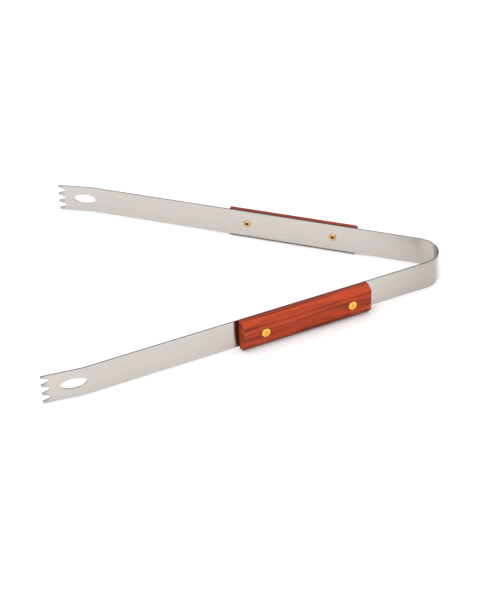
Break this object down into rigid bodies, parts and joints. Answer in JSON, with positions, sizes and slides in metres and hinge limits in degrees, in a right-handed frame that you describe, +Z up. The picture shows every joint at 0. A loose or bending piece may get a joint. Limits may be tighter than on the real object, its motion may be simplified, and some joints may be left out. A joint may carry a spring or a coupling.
{
  "type": "frame grip",
  "caption": "Frame grip made as long spring tongs: a bent steel strip with toothed jaws, oval holes and riveted hardwood scales outside its arms.",
  "frame": {"origin": "under the middle of the bounding box, on the surface that the scales stand on", "axes": "+X towards the bow, jaws towards -X; +Y towards the rear arm; +Z up, across the strip"},
  "size_m": [0.3236, 0.2982, 0.0264],
  "materials": {
    "strip": "rolled stainless strip, fine lengthwise brushing",
    "scale": "oiled red hardwood, grain along the scale",
    "rivet": "plain brass, domed head"
  },
  "bodies": {
    "spring_bow": {"spring_bow": "strip"},
    "front_arm": {"front_arm": "strip", "front_scale": "scale", "front_bow_rivet": "rivet", "front_jaw_rivet": "rivet"},
    "rear_arm": {"rear_arm": "strip", "rear_scale": "scale", "rear_bow_rivet": "rivet", "rear_jaw_rivet": "rivet"}
  },
  "joints": [
    {"name": "front_arm_flex", "type": "hinge", "parent": "spring_bow", "child": "front_arm", "pos_m": [0.13893, -0.02324, 0.0139], "axis": [0, 0, -1], "range_deg": [0, 26.6], "stiffness_Nm_per_rad": 5},
    {"name": "rear_arm_flex", "type": "hinge", "parent": "spring_bow", "child": "rear_arm", "pos_m": [0.13893, 0.02324, 0.0139], "axis": [0, 0, 1], "range_deg": [0, 26.6], "stiffness_Nm_per_rad": 5}
  ],
  "couplings": [
    {"joint": "rear_arm_flex", "follows": "front_arm_flex", "ratio": 1}
  ]
}
